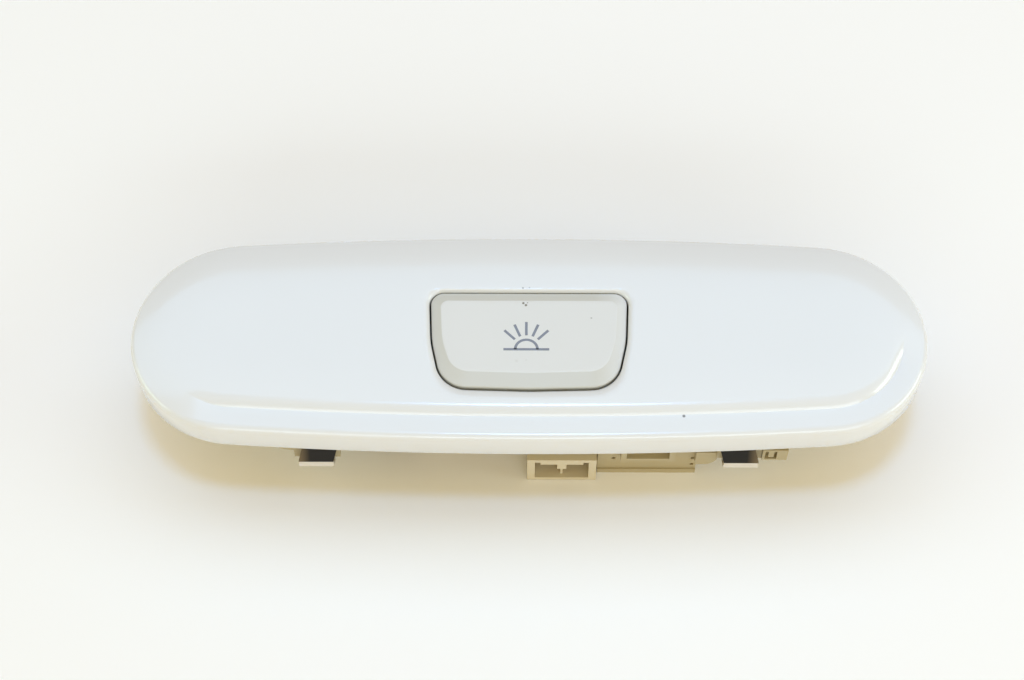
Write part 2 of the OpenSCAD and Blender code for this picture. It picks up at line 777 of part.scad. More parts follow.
// The shell: an open mouth with a key rib from above, windows at its upper corners
// and a tall back part that reaches the board
module connector_shell() {
    depth = plug_front - plug_back;
    z0 = plug_wall;
    z1 = plug_h - plug_wall - key_h / 2;
    color([0.9, 0.87, 0.78]) difference() {
        at_plug() difference() {
            union() {
                block(-plug_w / 2, plug_w / 2, 0, depth, 0, plug_h);
                block(-plug_w / 2, plug_w / 2, plug_front - plug_riser, depth, 0, board_z - plug_z);
            }
            difference() {
                block(-mouth_half_w, mouth_half_w, -cut, mouth_depth, z0, z1);
                block(-key_w / 2, key_w / 2, -2 * cut, mouth_depth + cut, z1 - key_h, z1 + cut);
                block(-key_rib / 2, key_rib / 2, key_rib_back, mouth_depth + cut, z0 - cut, z1);
            }
            for (s = [-1, 1]) translate([s * (mouth_half_w - corner_window / 2), 0, 0])
                block(-corner_window / 2, corner_window / 2, -cut, mouth_depth / 2,
                      z1 - cut, z1 + corner_window_h);
        }
        pins(pin_w + 2 * pin_fit);
    }
}

// L-shaped contact pins, from the board down and forward into the mouth
module pins(w) {
    for (x = pin_places) {
        block(plug_x + x - w / 2, plug_x + x + w / 2, pin_row_y - w / 2, pin_row_y + w / 2,
              plug_z + pin_z - w / 2, board_z);
        block(plug_x + x - w / 2, plug_x + x + w / 2, mouth_depth - plug_front - pin_reach,
              pin_row_y + w / 2, plug_z + pin_z - w / 2, plug_z + pin_z + w / 2);
    }
}
module connector_pins() {
    color([0.72, 0.7, 0.66]) pins(pin_w);
}

// Spring clips

// A strip's outline from the path of its middle line
function path_normal(p, i) =
    let (a = unit(p[max(i, 1)] - p[max(i, 1) - 1]), j = min(i, len(p) - 2), b = unit(p[j + 1] - p[j]),
         m = unit(a + b))
    left_of(m) / (m * a);
function strip(p, t) = concat(
    [for (i = [0:len(p) - 1]) p[i] + path_normal(p, i) * t / 2],
    [for (i = [len(p) - 1:-1:0]) p[i] - path_normal(p, i) * t / 2]);

clip_hold = 0.6;
clip_tip_drop = 1.8;
module spring_clip() {
    base_u = hair + clip_t / 2;
    bend = clip_bend_r + clip_t / 2;
    knee_u = clip_reach - clip_t / 2;
    bend_z = knee_z - knee_band - (knee_u - base_u - bend - bend * sqrt(0.5)) + bend * sqrt(0.5);
    lower = concat([[base_u, rail_top + clip_hold]],
                   arc([base_u + bend, bend_z], bend, 180, 315, 8),
                   [[knee_u, knee_z - knee_band], [knee_u, knee_z]]);
    upper = [[knee_u, knee_z - hair], [knee_u, knee_z], [hair + clip_t, flange_z - clip_tip_drop]];
    translate([-clip_w / 2, 0, 0]) rotate([90, 0, 90]) linear_extrude(clip_w) polygon(strip(lower, clip_t));
    intersection() {
        translate([-2 * clip_w, 0, 0]) rotate([90, 0, 90]) linear_extrude(4 * clip_w)
            polygon(strip(upper, clip_t));
        translate([0, clip_reach + 1, 0]) rotate([90, 0, 0]) linear_extrude(clip_reach + 2)
            polygon([[-clip_w / 2, knee_z - 1], [clip_w / 2, knee_z - 1], [clip_w / 2, knee_z],
                     [clip_w / 2 - clip_skew, flange_z], [-clip_w / 2 - clip_skew, flange_z],
                     [-clip_w / 2, knee_z]]);
    }
}
module placed_clip(turn, flip) {
    color([0.42, 0.43, 0.45]) clip_place(turn, flip) spring_clip();
}
module clip_front_left() { placed_clip(0, 1); }
module clip_front_right() { placed_clip(0, 0); }
module clip_back_left() { placed_clip(180, 0); }
module clip_back_right() { placed_clip(180, 1); }

// Fasteners and parts under the board

module board_screws() {
    color([0.6, 0.6, 0.62]) screw_places() {
        post(0, 0, boss_z + boss_floor + fit_gap, board_top + hair, screw_d);
        post(0, 0, board_top, board_top + screw_head_h, screw_head_d);
    }
}
// Parts that hang under the board: [x, y] of the middle, and [length, width, height]
chip_at = [22.5, 5];
chip_size = [4.9, 3.9, 1.5];
coil_at = [28, -6];
coil_d = 7;
coil_h = 5;
capacitor_at = [-12, 2];
capacitor_base = [6.6, 6.6, 1];
capacitor_d = 6.3;
capacitor_h = 7.6;
diode_at = [-2.2, 6.3];
diode_size = [4.3, 2.6, 2.2];
resistor_at = [6, 9];
resistor_size = [1.25, 2, 0.5];
resistor_pitch = 3;
resistor_count = 4;

module under_board(place, size) {
    translate([place[0] - size[0] / 2, place[1] - size[1] / 2, board_z - size[2]]) cube(size);
}
module driver_chip() {
    color([0.1, 0.1, 0.1]) under_board(chip_at, chip_size);
}
module power_coil() {
    color([0.25, 0.22, 0.2]) post(coil_at[0], coil_at[1], board_z - coil_h, board_z, coil_d);
}
module buffer_capacitor() {
    color([0.7, 0.72, 0.75]) {
        under_board(capacitor_at, capacitor_base);
        post(capacitor_at[0], capacitor_at[1], board_z - capacitor_h, board_z - cut, capacitor_d);
    }
}
module supply_diode() {
    color([0.12, 0.12, 0.12]) under_board(diode_at, diode_size);
}
module chip_resistors() {
    color([0.15, 0.15, 0.16]) for (i = [0:resistor_count - 1])
        under_board(resistor_at + [i * resistor_pitch, 0], resistor_size);
}

lens_cover();
push_button();
button_light_guide();
light_box();
rear_housing();
circuit_board();
reflector_left();
reflector_right();
lamp_diode_left();
lamp_diode_right();
symbol_diode();
switch_body();
switch_plate();
switch_plunger();
connector_shell();
connector_pins();
clip_front_left();
clip_front_right();
clip_back_left();
clip_back_right();
board_screws();
driver_chip();
power_coil();
buffer_capacitor();
supply_diode();
chip_resistors();
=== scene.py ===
import json
import math

import bmesh
import bpy
from mathutils import Matrix, Vector


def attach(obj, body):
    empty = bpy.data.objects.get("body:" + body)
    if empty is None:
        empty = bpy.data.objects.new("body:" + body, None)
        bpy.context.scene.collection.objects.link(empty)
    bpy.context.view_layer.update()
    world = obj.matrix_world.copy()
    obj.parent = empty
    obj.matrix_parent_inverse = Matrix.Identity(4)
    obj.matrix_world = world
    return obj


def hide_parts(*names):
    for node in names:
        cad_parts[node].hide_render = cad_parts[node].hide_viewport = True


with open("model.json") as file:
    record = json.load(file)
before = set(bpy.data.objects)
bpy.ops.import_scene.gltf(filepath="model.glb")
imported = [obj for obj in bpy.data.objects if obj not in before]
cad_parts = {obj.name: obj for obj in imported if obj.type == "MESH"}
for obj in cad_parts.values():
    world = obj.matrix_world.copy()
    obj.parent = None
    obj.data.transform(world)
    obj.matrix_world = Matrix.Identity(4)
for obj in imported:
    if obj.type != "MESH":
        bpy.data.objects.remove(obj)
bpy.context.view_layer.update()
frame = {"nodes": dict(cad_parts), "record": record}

MM = 0.001

# Sizes in millimetres. The cover's are the solid's own. The button's gap and edge and the dish's front
# are set to what the photograph shows.
HALF_LEN = 85.0
HALF_DEPTH = 25.2
SIDE_BOW = 2.0
SEAT_Z = 20.0
SKIRT_H = 7.15
LIP_R = 0.5
SHOULDER_R = 1.5
LEDGE_W = 5.3
ROLL_R = 4.0
ROLL_SLOPE = math.radians(50)
CROWN_SLOPE = math.radians(6)
LEVEL_INSET = 16.0
COVER_WALL = 1.3

END_R = HALF_DEPTH - SIDE_BOW
END_X = HALF_LEN - END_R
SIDE_R = (END_X ** 2 + HALF_DEPTH ** 2 - END_R ** 2) / (2 * SIDE_BOW)
SIDE_Y = SIDE_R - HALF_DEPTH
SIDE_TURN = math.atan2(END_X, SIDE_Y)
END_TURN = math.pi / 2 - SIDE_TURN

SHOULDER_MIDDLE = (SHOULDER_R, SKIRT_H - SHOULDER_R)
ROLL_MIDDLE = (LEDGE_W + ROLL_R * math.sin(ROLL_SLOPE), SKIRT_H - ROLL_R * math.cos(ROLL_SLOPE))
CROWN_START = ROLL_MIDDLE[0] - ROLL_R * math.sin(CROWN_SLOPE)
CROWN_R = (LEVEL_INSET - CROWN_START) / math.sin(CROWN_SLOPE)
CROWN_RISE = CROWN_R * (1 - math.cos(CROWN_SLOPE))
CROWN_Z = SEAT_Z + ROLL_MIDDLE[1] + ROLL_R * math.cos(CROWN_SLOPE) + CROWN_RISE

OPENING_WIDTHS = (43.0, 41.8, 37.0)
OPENING_BACK = 9.95
OPENING_BEND = 2.4
OPENING_FRONT = 14.1
FRONT_BOW = 0.5
OPENING_RADII = (3.2, 3.2, 24.0, 7.0, 60.0, 7.0, 24.0)
DISH_DEPTH = 1.3
DISH_FRONT_DROP = 0.6
DISH_DROP_FROM = -7.0
DISH_LIP = 1.1
DISH_BACK = 0.6
DISH_SIDE = 1.5
DISH_FRONT = 2.7

BUTTON_GAP = 0.32
BUTTON_BACK_CLOSER = 0.14
BUTTON_TOP = CROWN_Z - 0.28
BUTTON_EDGE = BUTTON_TOP - 0.45
BUTTON_RIM = BUTTON_TOP - 5.6
BEVEL_BACK = 2.2
BEVEL_SIDE = 2.3
BEVEL_FRONT = 3.6
BUTTON_EDGE_R = 0.5


# Modelling helpers

def deselect():
    if bpy.context.object and bpy.context.object.mode != "OBJECT":
        bpy.ops.object.mode_set(mode="OBJECT")
    bpy.ops.object.select_all(action="DESELECT")


def ring_piece(name, rings, close_last=True):
    """A circle set on the first ring of points, then extruded and set on each ring in turn."""
    deselect()
    count = len(rings[0])
    bpy.ops.mesh.primitive_circle_add(vertices=count, radius=1, fill_type="NOTHING")
    piece = bpy.context.object
    piece.name = piece.data.name = name
    bpy.ops.object.mode_set(mode="EDIT")
    bpy.ops.mesh.select_all(action="SELECT")
    mesh = bmesh.from_edit_mesh(piece.data)
    mesh.verts.ensure_lookup_table()
    place = {vert: i for i, vert in enumerate(mesh.verts)}
    for vert, i in place.items():
        vert.co = rings[0][i]
    for ring in rings[1:]:
        mesh.verts.index_update()
        known = {vert.index: i for vert, i in place.items()}
        bpy.ops.mesh.extrude_edges_move()
        mesh = bmesh.from_edit_mesh(piece.data)
        mesh.verts.ensure_lookup_table()
        place = {}
        for vert in mesh.verts:
            if vert.index in known or not vert.select:
                continue
            for edge in vert.link_edges:
                other = edge.other_vert(vert)
                if other.index in known:
                    place[vert] = known[other.index]
                    vert.co = ring[known[other.index]]
        bmesh.update_edit_mesh(piece.data)
    if close_last:
        bpy.ops.mesh.edge_face_add()
    bpy.ops.mesh.select_all(action="SELECT")
    bpy.ops.mesh.normals_make_consistent(inside=False)
    bpy.ops.object.mode_set(mode="OBJECT")
    return piece


def to_metres(piece):
    """Pieces are drawn in millimetres and brought to metres once."""
    piece.data.transform(Matrix.Scale(MM, 4))
    piece.data.update()


def apply_modifier(piece, kind, **settings):
    deselect()
    piece.select_set(True)
    bpy.context.view_layer.objects.active = piece
    modifier = piece.modifiers.new(kind.lower(), kind)
    for key, value in settings.items():
        setattr(modifier, key, value)
    bpy.ops.object.modifier_apply(modifier=modifier.name)


def smooth(piece, angle):
    """Shades a piece smooth across edges that turn by less than the angle in degrees."""
    deselect()
    piece.select_set(True)
    bpy.context.view_layer.objects.active = piece
    bpy.ops.object.shade_smooth_by_angle(angle=math.radians(angle))


# Outlines

CORNER_STEPS = 14


def arc_points(middle, radius, start, end, steps):
    return [(middle[0] + radius * math.cos(start + (end - start) * i / steps),
             middle[1] + radius * math.sin(start + (end - start) * i / steps)) for i in range(steps + 1)]


def rounded(corners, radii, inset):
    """Points of a polygon with rounded corners, drawn inwards by inset."""
    points = []
    count = len(corners)
    for i, corner in enumerate(corners):
        here = Vector(corner)
        a = (here - Vector(corners[i - 1])).normalized()
        b = (Vector(corners[(i + 1) % count]) - here).normalized()
        turn = math.atan2(a.x * b.y - a.y * b.x, a.dot(b))
        left_a = Vector((-a.y, a.x))
        left_b = Vector((-b.y, b.x))
        middle = here + (left_a + left_b) * radii[i] / (1 + a.dot(b))
        start = math.atan2(-left_a.y, -left_a.x)
        points += arc_points(middle, radii[i] - inset, start, start + turn, CORNER_STEPS)
    return points


def opening_outline(inset=0.0, side=0.0, back=0.0, front=0.0, radii=OPENING_RADII):
    """The opening's outline, drawn inwards by inset, or with its sides, back and front moved outwards."""
    wide = [w / 2 + side for w in OPENING_WIDTHS]
    far = OPENING_BACK + back
    near = OPENING_FRONT + front
    corners = [(wide[0], far), (-wide[0], far), (-wide[1], -OPENING_BEND), (-wide[2], FRONT_BOW - near),
               (0, -near), (wide[2], FRONT_BOW - near), (wide[1], -OPENING_BEND)]
    return rounded(corners, radii, inset)


COVER_ARCS = [((END_X, 0.0), END_R, 0.0, END_TURN),
              ((0.0, -SIDE_Y), SIDE_R, math.pi / 2, SIDE_TURN),
              ((-END_X, 0.0), END_R, math.pi, END_TURN),
              ((0.0, SIDE_Y), SIDE_R, -math.pi / 2, SIDE_TURN)]
# Rings share their ray angles, so that each point has its partner on the next ring.
RAY_Y = -1.5
END_STEPS = 56
SIDE_STEPS = 36
NEAREST_RAYS = 0.006


def cover_hit(angle, inset):
    """Where a ray meets the cover's outline: the middle and radius of the arc there, and the way out."""
    ray = Vector((math.cos(angle), math.sin(angle)))
    start = Vector((0.0, RAY_Y))
    best = None
    for middle, radius, facing, turn in COVER_ARCS:
        r = radius - inset
        to = start - Vector(middle)
        b = to.dot(ray)
        c = to.dot(to) - r * r
        if b * b < c:
            continue
        point = start + ray * (-b + math.sqrt(b * b - c))
        out = (point - Vector(middle)).normalized()
        off = math.atan2(out.y, out.x) - facing
        off = abs((off + math.pi) % (2 * math.pi) - math.pi) - turn
        if best is None or off < best[0]:
            best = (off, middle, radius, out)
    return best[1:]


def crown_z(x, y):
    """Height of the crown's surface over a point."""
    side = Vector((abs(x), abs(y) + SIDE_Y))
    if math.atan2(side.x, side.y) < SIDE_TURN:
        inset = SIDE_R - side.length
    else:
        inset = END_R - math.hypot(abs(x) - END_X, y)
    fall = max(0.0, LEVEL_INSET - inset)
    return CROWN_Z - CROWN_R + math.sqrt(CROWN_R ** 2 - fall ** 2)


def at_angles(points, angles):
    """A closed outline's points at the given ray angles."""
    polar = sorted((math.atan2(y - RAY_Y, x), math.hypot(x, y - RAY_Y)) for x, y in points)
    before = (polar[-1][0] - 2 * math.pi, polar[-1][1])
    after = (polar[0][0] + 2 * math.pi, polar[0][1])
    polar = [before] + polar + [after]
    found = []
    k = 0
    for angle in angles:
        while polar[k + 1][0] < angle:
            k += 1
        (a0, r0), (a1, r1) = polar[k], polar[k + 1]
        p0 = Vector((r0 * math.cos(a0), r0 * math.sin(a0)))
        p1 = Vector((r1 * math.cos(a1), r1 * math.sin(a1)))
        ray = Vector((math.cos(angle), math.sin(angle)))
        edge = p1 - p0
        cross = ray.x * edge.y - ray.y * edge.x
        length = (p0.x * edge.y - p0.y * edge.x) / cross
        found.append(Vector((length * ray.x, length * ray.y + RAY_Y)))
    return found


def ray_angles():
    """The ray angles that serve the opening's corners and the cover's ends alike."""
    wanted = [math.atan2(y - RAY_Y, x) for x, y in opening_outline()]
    for middle, radius, facing, turn in COVER_ARCS:
        steps = END_STEPS if radius == END_R else SIDE_STEPS
        for x, y in arc_points(middle, radius - CROWN_START, facing - turn, facing + turn, steps):
            wanted.append(math.atan2(y - RAY_Y, x))
    wanted.sort()
    kept = []
    for angle in wanted:
        if not kept or angle - kept[-1] > NEAREST_RAYS:
            kept.append(angle)
    return kept


# Cover

SHOULDER_STEPS = 10
ROLL_STEPS = 12
CREASE_EASE = 0.12
PLAIN_SLOPE = math.radians(17.9)
LIP_CUT = 0.29
LEDGE_MIDDLE = 0.6
# Where the crease fades at either end, as directions in degrees that the outline faces.
CREASE_LEFT = (-125.0, -97.0)
CREASE_RIGHT = (-28.0, 4.0)
# How far the crown's rings lie from its border to the dish, closer where the surface bends.
CROWN_SHARES = (0.02, 0.045, 0.075, 0.11, 0.16, 0.22, 0.32, 0.45, 0.6, 0.78, 0.92, 1.0)
DISH_STEPS = 10
COVER_SMOOTH = 28


def eased(share):
    """A share held between 0 and 1, with a soft start and end."""
    share = min(1.0, max(0.0, share))
    return share * share * (3 - 2 * share)


def crease_share(out):
    """1 where the front's crease is full, 0 where the top runs smoothly to the shoulder."""
    facing = math.degrees(math.atan2(out.y, out.x))
    if facing > 90:
        facing -= 360
    left = (facing - CREASE_LEFT[0]) / (CREASE_LEFT[1] - CREASE_LEFT[0])
    right = (CREASE_RIGHT[1] - facing) / (CREASE_RIGHT[1] - CREASE_RIGHT[0])
    return eased(min(left, right))


def dish_floor(y):
    """Height of the dish's lowest edge, which drops towards the front, where the button's wall shows."""
    share = (y - DISH_DROP_FROM) / (-OPENING_FRONT - DISH_DROP_FROM)
    return CROWN_Z - DISH_DEPTH - DISH_FRONT_DROP * eased(share)


def profile(middle, radius, start, end, steps):
    """Points of an arc in the edge's section, as insets from the outline and heights over the seat."""
    turns = [start + (end - start) * i / steps for i in range(steps + 1)]
    return [(middle[0] - radius * math.sin(turn), middle[1] + radius * math.cos(turn)) for turn in turns]


def creased_edge():
    """The front's section: lip, skirt, shoulder, ledge, crease and roll up to the crown."""
    points = [(LIP_R, 0.0), (LIP_R * LIP_CUT, LIP_R * LIP_CUT), (0.0, LIP_R)]
    points += profile(SHOULDER_MIDDLE, SHOULDER_R, math.pi / 2, 0.0, SHOULDER_STEPS)
    points += [(LEDGE_W * LEDGE_MIDDLE, SKIRT_H), (LEDGE_W - CREASE_EASE, SKIRT_H)]
    return points + profile(ROLL_MIDDLE, ROLL_R, ROLL_SLOPE, CROWN_SLOPE, ROLL_STEPS)


def plain_edge(creased):
    """The section of the ends and the back, with a point for each of the creased one's and no crease."""
    lip_points = 3
    points = creased[:lip_points]
    points += profile(SHOULDER_MIDDLE, SHOULDER_R, math.pi / 2, PLAIN_SLOPE, SHOULDER_STEPS)
    start, end = points[-1], creased[-1]
    run = end[0] - start[0]
    rise = math.tan(PLAIN_SLOPE)
    fall = 2 * (rise - (end[1] - start[1]) / run)
    for inset, height in creased[len(points):]:
        t = (inset - start[0]) / run
        points.append((inset, start[1] + run * (rise * t - fall * t * t / 2)))
    return points


def make_cover():
    angles = ray_angles()
    hits = [cover_hit(angle, CROWN_START) for angle in angles]
    creases = [crease_share(out) for middle, radius, out in hits]

    def edge_ring(creased, smooth_one):
        ring = []
        for (middle, radius, out), share in zip(hits, creases):
            inset = smooth_one[0] + (creased[0] - smooth_one[0]) * share
            height = smooth_one[1] + (creased[1] - smooth_one[1]) * share
            spot = Vector(middle) + out * (radius - inset)
            ring.append((spot.x, spot.y, SEAT_Z + height))
        return ring

    section = creased_edge()
    rings = [edge_ring(a, b) for a, b in zip(section, plain_edge(section))]

    outer = at_angles(opening_outline(0, DISH_SIDE, DISH_BACK, DISH_FRONT), angles)
    inner = at_angles(opening_outline(), angles)
    border = [Vector(p[:2]) for p in rings[-1]]
    for t in CROWN_SHARES:
        ring = [b.lerp(o, t) for b, o in zip(border, outer)]
        rings.append([(p.x, p.y, crown_z(p.x, p.y)) for p in ring])
    floors = [dish_floor(q.y) for q in inner]
    for i in reversed(range(DISH_STEPS)):
        a = math.pi / 2 * i / DISH_STEPS
        ring = [q.lerp(o, 1 - math.cos(a)) for q, o in zip(inner, outer)]
        rings.append([(p.x, p.y, floor + math.sin(a) * (crown_z(o.x, o.y) - floor))
                      for p, o, floor in zip(ring, outer, floors)])
    rings.append([(q.x, q.y, floor - DISH_LIP) for q, floor in zip(inner, floors)])
    cover = ring_piece("cover", rings, close_last=False)
    apply_modifier(cover, "SOLIDIFY", thickness=COVER_WALL, offset=-1)
    to_metres(cover)
    smooth(cover, COVER_SMOOTH)
    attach(cover, "lamp")
    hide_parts("lens_cover")
    return cover


# Button

TOP_RADII = (1.9, 1.9, 20.0, 5.0, 60.0, 5.0, 20.0)
EDGE_STEPS = 6
EDGE_TURN = math.radians(14)
# The rounding at the top's border: how far inside its outline each ring lies, and how far below the top.
TOP_ROUNDING = ((-0.22, 0.1), (-0.08, 0.035), (0.08, 0.0), (0.6, 0.0))
BUTTON_SMOOTH = 40


def make_button():
    """The key: an upright wall, a rounded edge, a wide bevel and a level top."""

    def wall_ring(inset, z):
        outline = opening_outline(BUTTON_GAP + inset, back=BUTTON_BACK_CLOSER)
        return [(x, y, z) for x, y in outline]

    def top_ring(inset, z):
        outline = opening_outline(BUTTON_GAP + inset, -BEVEL_SIDE, -BEVEL_BACK, -BEVEL_FRONT, TOP_RADII)
        return [(x, y, z) for x, y in outline]

    rings = [wall_ring(0, BUTTON_RIM), wall_ring(0, (BUTTON_RIM + BUTTON_EDGE) / 2)]
    for i in range(EDGE_STEPS):
        a = math.pi / 2 - EDGE_TURN * i
        inset = BUTTON_EDGE_R * (1 - math.sin(a))
        rings.append(wall_ring(inset, BUTTON_EDGE - BUTTON_EDGE_R * (1 - math.cos(a))))
    for inset, below in TOP_ROUNDING:
        rings.append(top_ring(inset, BUTTON_TOP - below))
    button = ring_piece("button", rings)
    to_metres(button)
    smooth(button, BUTTON_SMOOTH)
    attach(button, "button")
    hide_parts("push_button")
    return button


# Materials

class Value:
    """A value of a finish's nodes, on which sums, products and the like can be written out."""

    def __init__(self, finish, socket):
        self.finish = finish
        self.socket = socket

    def math(self, operation, *values):
        return self.finish.node("Math", {"operation": operation}, dict(enumerate(values)))

    def __add__(self, other):
        return self.math("ADD", self, other)

    def __sub__(self, other):
        return self.math("SUBTRACT", self, other)

    def __rsub__(self, other):
        return self.math("SUBTRACT", other, self)

    def __mul__(self, other):
        return self.math("MULTIPLY", self, other)

    def __truediv__(self, other):
        return self.math("DIVIDE", self, other)

    def size(self):
        return self.math("ABSOLUTE", self)

    def __pow__(self, other):
        return self.math("POWER", self, other)

    def at_most(self, other):
        return self.math("MINIMUM", self, other)

    def at_least(self, other):
        return self.math("MAXIMUM", self, other)

    __radd__ = __add__
    __rmul__ = __mul__


class Finish:
    """A material: its shader's plain settings, and nodes that vary them."""

    def __init__(self, name, **settings):
        self.material = bpy.data.materials.new(name)
        self.material.use_nodes = True
        self.nodes = self.material.node_tree.nodes
        self.links = self.material.node_tree.links
        self.shader = self.nodes["Principled BSDF"]
        for key, value in settings.items():
            self.shader.inputs[key.replace("_", " ").title().replace("Ior", "IOR")].default_value = value

    def node(self, kind, settings=None, inputs=None, output=0):
        """One node of a kind, with its settings and the values or links of its sockets."""
        made = self.nodes.new("ShaderNode" + kind)
        for key, value in (settings or {}).items():
            setattr(made, key, value)
        for key, value in (inputs or {}).items():
            if isinstance(value, Value):
                self.links.new(value.socket, made.inputs[key])
            else:
                made.inputs[key].default_value = value
        return Value(self, made.outputs[output])

    def place(self):
        return self.node("TexCoord", output="Object")

    def axis(self, letter):
        return self.node("SeparateXYZ", inputs={0: self.place()}, output=letter)

    def noise(self, scale, detail=2.0, roughness=0.5):
        return self.node("TexNoise", inputs={"Vector": self.place(), "Scale": scale, "Detail": detail,
                                             "Roughness": roughness}, output="Fac")

    def spot(self, middle, radius, soft=0.5):
        """1 inside a small round spot, 0 outside. A middle of two values is seen from above."""
        squares = [(self.axis(letter) - at * MM) ** 2 for letter, at in zip("XYZ", middle)]
        away = sum(squares[1:], squares[0]) ** 0.5
        return ((radius * MM - away) / (radius * MM * soft)).at_least(0.0).at_most(1.0)

    def marks(self, spots):
        """The darkest of some spots, each with its middle, radius, strength and softness."""
        found = None
        for middle, radius, strength, soft in spots:
            mark = self.spot(middle, radius, soft) * strength
            found = mark if found is None else found.at_least(mark)
        return found

    def rise(self, along, start, end):
        """Goes from 0 to 1 as a value in metres goes between two sizes in millimetres."""
        return ((along - start * MM) / ((end - start) * MM)).at_least(0.0).at_most(1.0)

    def tint(self, share, low, high):
        return self.node("Mix", {"data_type": "RGBA"}, {0: share, 6: low, 7: high}, output=2)

    def feed(self, **values):
        for key, value in values.items():
            self.links.new(value.socket, self.shader.inputs[key.replace("_", " ").title()])

    def bump(self, height, strength, distance):
        normal = self.node("Bump", inputs={"Strength": strength, "Distance": distance * MM,
                                           "Height": height})
        self.links.new(normal.socket, self.shader.inputs["Normal"])


def plain(r, g, b):
    """An sRGB colour of 0 to 255 as the shader wants it."""
    def line(v):
        v /= 255
        return v / 12.92 if v <= 0.04045 else ((v + 0.055) / 1.055) ** 2.4
    return (line(r), line(g), line(b), 1.0)


def moulded(name, low, high, roughness, grain, grain_depth):
    """A moulded plastic: two close tones in soft clouds, and a fine grain."""
    finish = Finish(name)
    clouds = finish.noise(38.0, 3.0)
    finish.feed(base_color=finish.tint(clouds, low, high),
                roughness=roughness + (finish.noise(160.0, 2.0) - 0.5) * 0.12)
    finish.bump(finish.noise(grain, 3.0, 0.6), 0.35, grain_depth)
    return finish


# Marks: the middle in millimetres, radius, strength, and the share of the radius that is soft.
SOFT = 0.5
SKIRT_DOT = ((-48.3, -25.1, 22.9), 0.34, 1.0, SOFT)
CREASE_NICK = ((32.2, -19.7), 0.42, 1.0, SOFT)
OPENING_MARKS = (((-1.3, 10.6), 0.3, 0.7, SOFT), ((0.1, 10.7), 0.24, 0.5, SOFT))
TOP_MARKS = (((-1.2, 6.9), 0.34, 1.0, SOFT), ((-0.65, 6.4), 0.36, 1.0, SOFT),
             ((-0.3, 7.0), 0.2, 0.7, SOFT), ((13.3, 3.2), 0.26, 0.5, SOFT),
             ((-0.6, -7.2), 0.3, 0.12, 1.0))
TOP_SMUDGE = ((-2.6, -7.4), 0.5, 0.22, 1.0)


def cover_finish():
    finish = Finish("milky cover", specular_ior_level=0.5, coat_weight=0.6, coat_roughness=0.08)
    base = finish.tint(finish.noise(22.0, 2.0), plain(220, 222, 223), plain(224, 226, 227))
    dirt = finish.marks((SKIRT_DOT, CREASE_NICK) + OPENING_MARKS)
    finish.feed(base_color=finish.tint(dirt, base, plain(120, 118, 116)),
                roughness=0.2 + finish.noise(60.0, 3.0) * 0.08 + dirt * 0.4)
    finish.bump(finish.noise(900.0, 2.0), 0.12, 0.02)
    return finish


# Painted shade on the key: its border is greyer than its top, except at the right where the light falls,
# and its wall, seen down in the gap, is a darker olive grey.
BORDER_SHADE_Z = (BUTTON_TOP - 0.03, BUTTON_TOP - 0.1)
BORDER_LIT_X = (14.0, 20.0)
WALL_SHADE_Z = (BUTTON_EDGE - 0.1, BUTTON_EDGE - 0.5)


def button_finish():
    finish = Finish("milky button", specular_ior_level=0.3, coat_weight=0.04, coat_roughness=0.2)
    base = finish.tint(finish.noise(60.0, 2.0), plain(217, 219, 218), plain(222, 223, 222))
    # Painted shade: the border darkens below the top's edge, less towards the right, where the light
    # falls.
    lit_right = finish.rise(finish.axis("X"), *BORDER_LIT_X) * 0.85
    border = finish.rise(finish.axis("Z"), *BORDER_SHADE_Z) * (1.0 - lit_right)
    base = finish.tint(border * 0.85, base, plain(200, 199, 190))
    # Painted shade: the wall, seen down in the gap below the edge, is darker.
    wall = finish.rise(finish.axis("Z"), *WALL_SHADE_Z)
    base = finish.tint(wall, base, plain(176, 174, 163))
    smudge = finish.marks((TOP_SMUDGE,)) * finish.noise(1500.0, 2.0)
    dirt = finish.marks(TOP_MARKS).at_least(smudge)
    finish.feed(base_color=finish.tint(dirt, base, plain(125, 120, 108)),
                roughness=0.42 + finish.noise(90.0, 3.0) * 0.1)
    finish.bump(finish.noise(1100.0, 2.0), 0.15, 0.02)
    return finish


def metal(name, color, roughness):
    """A bare metal with duller streaks."""
    finish = Finish(name, metallic=1.0)
    streaks = finish.noise(240.0, 4.0, 0.7)
    dull = tuple(c * 0.82 for c in color[:3]) + (1.0,)
    finish.feed(base_color=finish.tint(streaks, dull, color), roughness=roughness + streaks * 0.08)
    finish.bump(finish.noise(1400.0, 2.0), 0.1, 0.01)
    return finish


CLIP_KNEE_Z = 12.5
KNEE_SOFT = 0.1
# Where the ramp's painted warm reflection grows paler, as distances from the middle in millimetres.
CLIP_REFLECTION_X = (46.6, 48.9)


def spring_finish():
    """A blued spring strip: dark on its ramp, partly from its bluing and partly a painted dark reflection
    of the shade under the cover, paler towards its outer end as a painted warm reflection, and with a
    painted highlight on its lip.
    """
    finish = Finish("blued spring strip", metallic=0.3, specular_ior_level=0.3)
    streaks = finish.noise(420.0, 3.0)
    ramp = finish.rise(finish.axis("Z"), CLIP_KNEE_Z - KNEE_SOFT, CLIP_KNEE_Z + KNEE_SOFT)
    # Painted reflection: the dark ramp, blued and reflecting the shade under the cover, grows paler
    # towards its outer end.
    outer = finish.rise(finish.axis("X").size(), *CLIP_REFLECTION_X)
    blued_with_reflection = finish.tint(outer, plain(30, 25, 18), plain(112, 96, 70))
    # Painted highlight: the lip below the knee is pale, as where light falls on it.
    lit_lip = finish.tint(streaks, plain(214, 206, 194), plain(232, 226, 216))
    finish.feed(base_color=finish.tint(ramp, lit_lip, blued_with_reflection), roughness=0.38 + streaks * 0.15)
    finish.bump(finish.noise(1300.0, 2.0), 0.12, 0.01)
    return finish


def clear_finish(name, low, high):
    finish = Finish(name, ior=1.49, transmission_weight=0.6)
    finish.feed(base_color=finish.tint(finish.noise(120.0), low, high),
                roughness=0.08 + finish.noise(300.0) * 0.1)
    return finish


